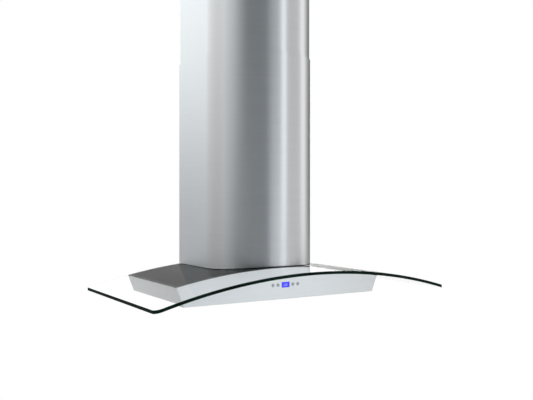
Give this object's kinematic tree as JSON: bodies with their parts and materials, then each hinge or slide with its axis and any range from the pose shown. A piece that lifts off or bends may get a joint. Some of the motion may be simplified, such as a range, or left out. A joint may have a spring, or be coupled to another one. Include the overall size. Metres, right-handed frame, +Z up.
{
  "type": "island range hood",
  "caption": "Ceiling-hung range hood: arched glass canopy, thin steel body with controls, telescopic round-fronted chimney, blower and tilt-down baffle filters.",
  "frame": {"origin": "centre of the ceiling bracket's four anchor holes, on the ceiling and on the duct's axis", "axes": "+Z up, -Y towards the cook at the front, +X to the right as seen from the front"},
  "size_m": [0.9, 0.5, 1.0938],
  "materials": {
    "stainless": "brushed stainless steel",
    "zinc_steel": "galvanised sheet steel",
    "black_enamel": "black powder coat, satin",
    "clear_glass": "clear tempered glass, polished edge",
    "black_rubber": "EPDM rubber, matt",
    "black_plastic": "moulded ABS, matt",
    "grey_plastic": "moulded ABS, light grey",
    "board_green": "solder mask",
    "display_blue": "blue backlit liquid crystal",
    "display_cover": "tinted acrylic, polished",
    "button_metal": "turned and satin-plated",
    "bright_metal": "bright plating",
    "motor_paint": "dip-painted steel",
    "lamp_lens": "frosted polycarbonate",
    "capacitor_can": "moulded polypropylene can"
  },
  "bodies": {
    "ceiling_mount": {"ceiling_bracket": "zinc_steel", "bracket_bolts": "zinc_steel", "upper_posts": "zinc_steel", "upper_ties": "zinc_steel", "upper_cover": "stainless", "upper_cover_back": "stainless", "upper_cover_screws": "bright_metal"},
    "hood": {"lower_posts": "zinc_steel", "lower_ties": "zinc_steel", "clamp_screws": "zinc_steel", "lower_cover": "stainless", "lower_cover_back": "stainless", "lower_cover_screws": "bright_metal", "cover_clips": "zinc_steel", "glass_canopy": "clear_glass", "glass_gasket": "black_rubber", "glass_bushes": "black_rubber", "glass_screws": "bright_metal", "canopy_shell": "stainless", "canopy_back": "stainless", "canopy_top": "black_enamel", "bottom_panel": "stainless", "support_plate": "zinc_steel", "control_housing": "black_plastic", "control_board": "board_green", "tact_switches": "black_plastic", "lcd_module": "display_blue", "display_window": "display_cover", "control_cable": "black_rubber", "cable_grommet": "black_rubber", "blower_box": "zinc_steel", "volute": "zinc_steel", "motor": "motor_paint", "motor_bracket": "zinc_steel", "outlet_collar": "black_plastic", "damper_rod": "bright_metal", "junction_box": "grey_plastic", "junction_box_lid": "grey_plastic", "cable_gland": "black_plastic", "capacitor": "capacitor_can", "lamp_bezels": "bright_metal", "lamp_lenses": "lamp_lens", "lamp_housings": "black_enamel", "filter_catches": "zinc_steel"},
    "fan": {"impeller": "zinc_steel", "motor_shaft": "bright_metal"},
    "button_light_body": {"button_light": "button_metal"},
    "button_less_body": {"button_less": "button_metal"},
    "button_more_body": {"button_more": "button_metal"},
    "button_power_body": {"button_power": "button_metal"},
    "flap_left": {"damper_left": "black_plastic"},
    "flap_right": {"damper_right": "black_plastic"},
    "filter_left": {"filter_left_frame": "stainless", "filter_left_baffles": "stainless", "filter_left_knob": "bright_metal"},
    "filter_right": {"filter_right_frame": "stainless", "filter_right_baffles": "stainless", "filter_right_knob": "bright_metal"}
  },
  "joints": [
    {"name": "height_adjust", "type": "slide", "parent": "ceiling_mount", "child": "hood", "axis": [0, 0, 1], "range_m": [-0.08, 0.2]},
    {"name": "light_press", "type": "slide", "parent": "hood", "child": "button_light_body", "axis": [0, 1, 0], "range_m": [0, 0.0012], "stiffness_N_per_m": 300, "springref_m": -0.002},
    {"name": "less_press", "type": "slide", "parent": "hood", "child": "button_less_body", "axis": [0, 1, 0], "range_m": [0, 0.0012], "stiffness_N_per_m": 300, "springref_m": -0.002},
    {"name": "more_press", "type": "slide", "parent": "hood", "child": "button_more_body", "axis": [0, 1, 0], "range_m": [0, 0.0012], "stiffness_N_per_m": 300, "springref_m": -0.002},
    {"name": "power_press", "type": "slide", "parent": "hood", "child": "button_power_body", "axis": [0, 1, 0], "range_m": [0, 0.0012], "stiffness_N_per_m": 300, "springref_m": -0.002},
    {"name": "fan_spin", "type": "hinge", "parent": "hood", "child": "fan", "pos_m": [0, -0.02, -0.8815], "axis": [1, 0, 0], "continuous": true},
    {"name": "flap_left_swing", "type": "hinge", "parent": "hood", "child": "flap_left", "pos_m": [0, 0, -0.6955], "axis": [0, 1, 0], "range_deg": [0, 80]},
    {"name": "flap_right_swing", "type": "hinge", "parent": "hood", "child": "flap_right", "pos_m": [0, 0, -0.6955], "axis": [0, -1, 0], "range_deg": [0, 80]},
    {"name": "filter_left_tilt", "type": "hinge", "parent": "hood", "child": "filter_left", "pos_m": [0, 0.121, -1.077], "axis": [1, 0, 0], "range_deg": [0, 75]},
    {"name": "filter_right_tilt", "type": "hinge", "parent": "hood", "child": "filter_right", "pos_m": [0, 0.121, -1.077], "axis": [1, 0, 0], "range_deg": [0, 75]}
  ]
}
